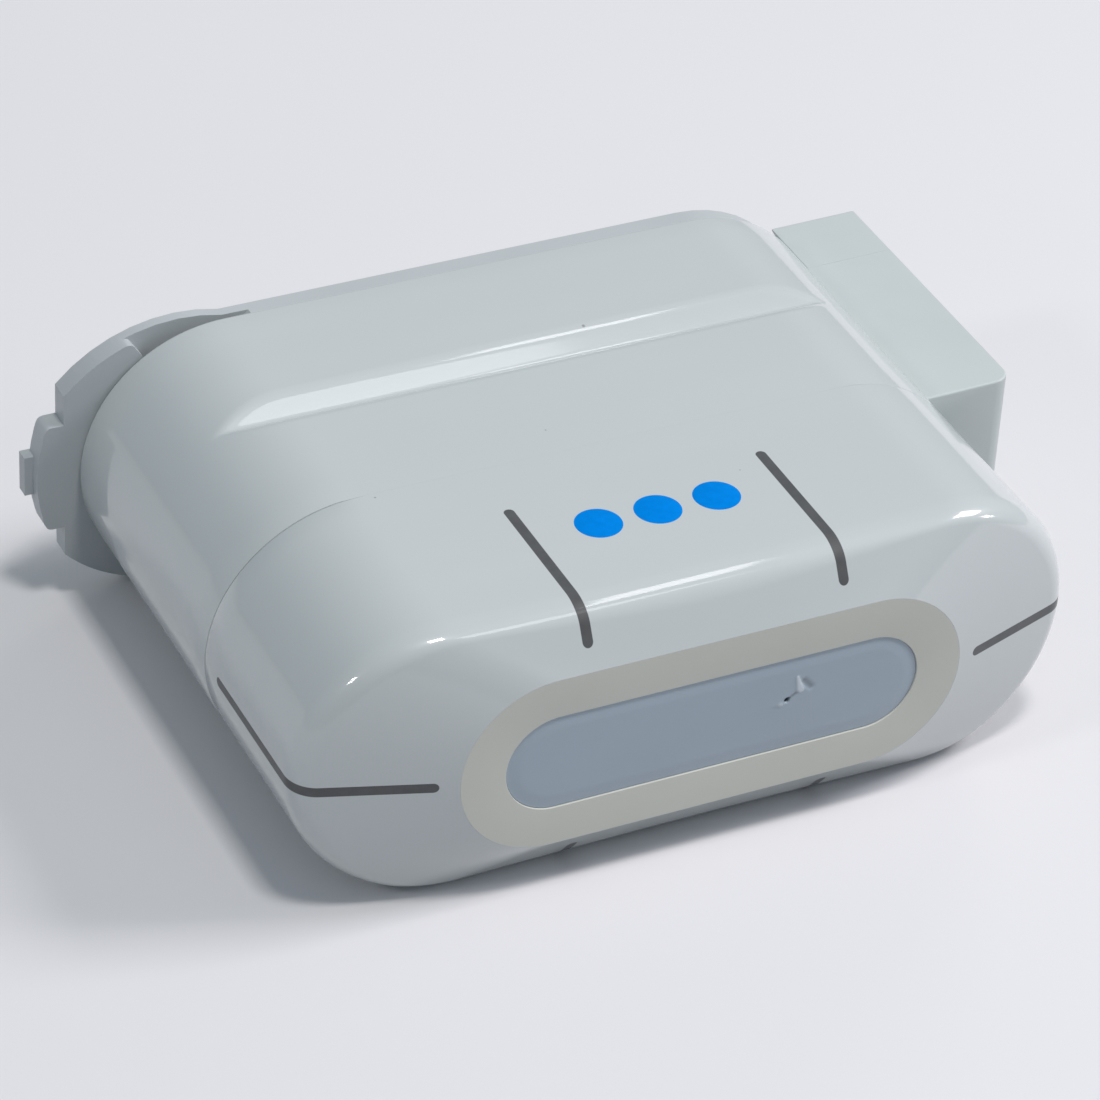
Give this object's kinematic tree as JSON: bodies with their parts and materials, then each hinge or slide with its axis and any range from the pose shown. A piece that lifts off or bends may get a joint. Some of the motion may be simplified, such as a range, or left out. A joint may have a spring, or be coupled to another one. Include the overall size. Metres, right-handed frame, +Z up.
{
  "type": "ultrasound transducer cartridge",
  "caption": "Flat fluid-filled ultrasound transducer cartridge: faceted nose with a framed oval window, finger grooves, notched latch plate, side connector block and a sliding element inside.",
  "frame": {"origin": "on the flat underside, in the middle of the housing's width and 30 mm behind the front plane of the window frame", "axes": "+X along the window to the connector block's side, -Y out of the window, +Z up from the underside"},
  "size_m": [0.0887, 0.0603, 0.0284],
  "materials": {
    "shell_plastic": "glossy moulded, pale grey",
    "frame_plastic": "satin, warm grey",
    "membrane_film": "translucent film",
    "grey_plastic": "matte moulded, light grey",
    "inner_plastic": "moulded, off-white",
    "black_rubber": "matte",
    "blue_rubber": "matte",
    "steel": "stainless",
    "bronze": "sintered bearing bronze",
    "nickel": "nickel plated",
    "piezo_ceramic": "fired, unglazed",
    "board_laminate": "solder mask",
    "chip_resin": "moulded resin",
    "polyimide": "amber film"
  },
  "bodies": {
    "housing": {"front_shell": "shell_plastic", "rear_shell": "shell_plastic", "shell_gasket": "blue_rubber", "window_frame": "frame_plastic", "window_membrane": "membrane_film", "rear_cap": "inner_plastic", "cap_gasket": "blue_rubber", "latch_plate": "grey_plastic", "plate_screw_1": "steel", "plate_screw_2": "steel", "plate_screw_3": "steel", "plate_screw_4": "steel", "fill_plug_left": "steel", "fill_plug_right": "steel", "plug_seal_left": "black_rubber", "plug_seal_right": "black_rubber", "connector_housing": "grey_plastic", "connector_cover": "grey_plastic", "contact_board": "board_laminate", "memory_chip": "chip_resin", "feedthrough_seal": "black_rubber", "flex_circuit": "polyimide", "rod_bracket_left": "steel", "rod_bracket_right": "steel", "guide_rod_upper": "steel", "guide_rod_lower": "steel", "stop_bumper_upper_left": "black_rubber", "stop_bumper_upper_right": "black_rubber", "stop_bumper_lower_left": "black_rubber", "stop_bumper_lower_right": "black_rubber"},
    "element_carriage": {"carriage": "inner_plastic", "rod_bush_upper_left": "bronze", "rod_bush_upper_right": "bronze", "rod_bush_lower_left": "bronze", "rod_bush_lower_right": "bronze", "element_bowl": "piezo_ceramic", "imaging_element": "chip_resin", "element_retainer": "steel", "magnet_yoke": "steel", "drive_magnet_left": "nickel", "drive_magnet_right": "nickel"}
  },
  "joints": [
    {"name": "element_travel", "type": "slide", "parent": "housing", "child": "element_carriage", "axis": [1, 0, 0], "range_m": [-0.0125, 0.0125], "deforming": ["flex_circuit"]}
  ]
}
